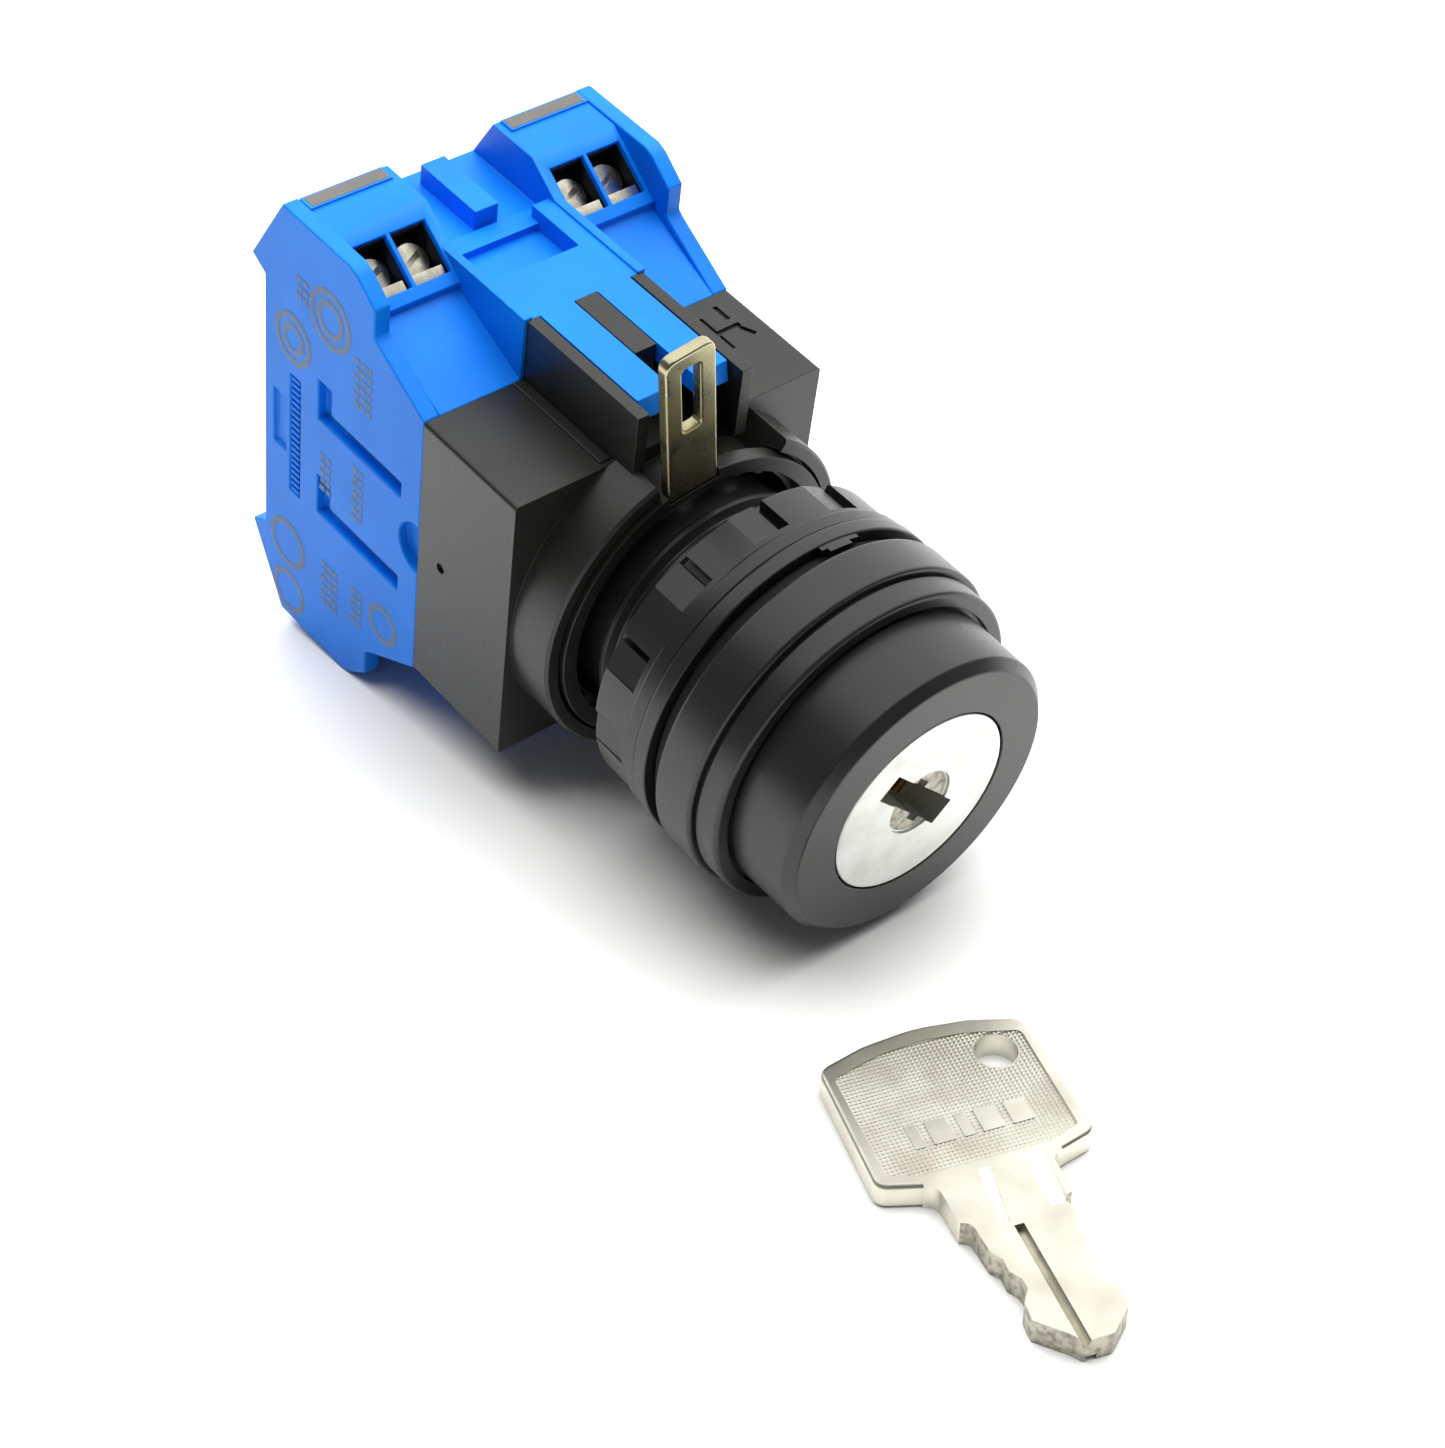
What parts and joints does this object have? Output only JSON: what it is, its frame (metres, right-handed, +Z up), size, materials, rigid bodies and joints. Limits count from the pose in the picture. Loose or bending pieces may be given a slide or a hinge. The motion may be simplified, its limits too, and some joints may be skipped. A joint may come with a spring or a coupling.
{
  "type": "selector key switch",
  "caption": "Key-operated two-position selector switch for a round panel hole, with locking lever, contact block, screw terminals and a loose flat key.",
  "frame": {"origin": "on the switch axis in the panel's plane, at the rear face of the gasket", "axes": "+Z up from the bench that the switch lies on; the switch axis lies in the YZ plane, 8.63 degrees nose-down, with the key face towards -Y; +X to the right as seen from the key face"},
  "size_m": [0.0364, 0.1058, 0.0438],
  "materials": {
    "black_plastic": "satin",
    "black_rubber": "matte",
    "lock_metal": "satin",
    "key_nickel": "satin",
    "wafer_brass": "satin",
    "spring_steel": "satin",
    "zinc_plated_steel": "satin",
    "blue_plastic": "gloss",
    "grey_strip": "matte",
    "terminal_steel": "satin",
    "contact_metal": "satin",
    "white_plastic": "satin"
  },
  "bodies": {
    "root": {"adaptor_housing": "black_plastic", "bezel_ring": "black_plastic", "contact_block": "blue_plastic", "fixed_contact_left_inner_lower": "contact_metal", "fixed_contact_left_inner_upper": "contact_metal", "fixed_contact_left_outer_lower": "contact_metal", "fixed_contact_left_outer_upper": "contact_metal", "fixed_contact_right_inner_lower": "contact_metal", "fixed_contact_right_inner_upper": "contact_metal", "fixed_contact_right_outer_lower": "contact_metal", "fixed_contact_right_outer_upper": "contact_metal", "front_shroud": "black_plastic", "gasket": "black_rubber", "label_strip_lower_left": "grey_strip", "label_strip_lower_right": "grey_strip", "label_strip_upper_left": "grey_strip", "label_strip_upper_right": "grey_strip", "lock_body": "lock_metal", "operator_sleeve": "black_plastic", "return_spring_left": "spring_steel", "return_spring_right": "spring_steel", "seal_ring": "black_rubber", "side_cover_left": "blue_plastic", "side_cover_right": "blue_plastic", "terminal_saddles_lower": "terminal_steel", "terminal_saddles_upper": "terminal_steel", "terminal_screws_lower": "terminal_steel", "terminal_screws_upper": "terminal_steel"},
    "rotor": {"lock_plug": "lock_metal", "plug_clip": "spring_steel", "cam_shaft": "black_plastic"},
    "lever": {"lever_ring": "black_plastic", "locking_lever": "zinc_plated_steel"},
    "washer": {"clamp_washer": "black_plastic"},
    "nut": {"locking_nut": "black_plastic"},
    "key": {"key": "key_nickel"},
    "plunger_left": {"plunger_left": "white_plastic", "contact_bridge_left_inner": "contact_metal", "contact_bridge_left_outer": "contact_metal"},
    "plunger_right": {"plunger_right": "white_plastic", "contact_bridge_right_inner": "contact_metal", "contact_bridge_right_outer": "contact_metal"},
    "wafer_1": {"wafer_1": "wafer_brass"},
    "wafer_2": {"wafer_2": "wafer_brass"},
    "wafer_3": {"wafer_3": "wafer_brass"},
    "wafer_4": {"wafer_4": "wafer_brass"}
  },
  "joints": [
    {"name": "key_turn", "type": "hinge", "parent": "root", "child": "rotor", "pos_m": [0, 0, 0], "axis": [0, 0.9887, 0.15], "range_deg": [0, 90]},
    {"name": "plunger_right_push", "type": "slide", "parent": "root", "child": "plunger_right", "axis": [0, 0.9887, 0.15], "range_m": [0, 0.00301], "deforming": ["return_spring_right"]},
    {"name": "plunger_left_push", "type": "slide", "parent": "root", "child": "plunger_left", "axis": [0, 0.9887, 0.15], "range_m": [-0.00301, 0], "deforming": ["return_spring_left"]},
    {"name": "lever_swing", "type": "hinge", "parent": "root", "child": "lever", "pos_m": [0, 0, 0], "axis": [0, 0.9887, 0.15], "range_deg": [0, 30]},
    {"name": "washer_travel", "type": "slide", "parent": "root", "child": "washer", "axis": [0, 0.9887, 0.15], "range_m": [0, 0.0048]},
    {"name": "nut_turn", "type": "hinge", "parent": "washer", "child": "nut", "pos_m": [0, 0, 0], "axis": [0, 0.9887, 0.15], "range_deg": [0, 1152]},
    {"name": "wafer_1_slide", "type": "slide", "parent": "rotor", "child": "wafer_1", "axis": [0.7071, 0.1061, -0.6991], "range_m": [0, 0.0004]},
    {"name": "wafer_2_slide", "type": "slide", "parent": "rotor", "child": "wafer_2", "axis": [-0.7071, -0.1061, 0.6991], "range_m": [0, 0.0004]},
    {"name": "wafer_3_slide", "type": "slide", "parent": "rotor", "child": "wafer_3", "axis": [0.7071, 0.1061, -0.6991], "range_m": [0, 0.0004]},
    {"name": "wafer_4_slide", "type": "slide", "parent": "rotor", "child": "wafer_4", "axis": [-0.7071, -0.1061, 0.6991], "range_m": [0, 0.0004]},
    {"name": "key_lift", "type": "slide", "parent": "root", "child": "key", "axis": [0, 0, 1], "range_m": [0, 0.06]}
  ],
  "couplings": [
    {"joint": "plunger_right_push", "follows": "key_turn", "m_per_rad": 0.0019099},
    {"joint": "plunger_left_push", "follows": "key_turn", "m_per_rad": -0.0019099},
    {"joint": "washer_travel", "follows": "nut_turn", "m_per_rad": 0.00023873}
  ]
}
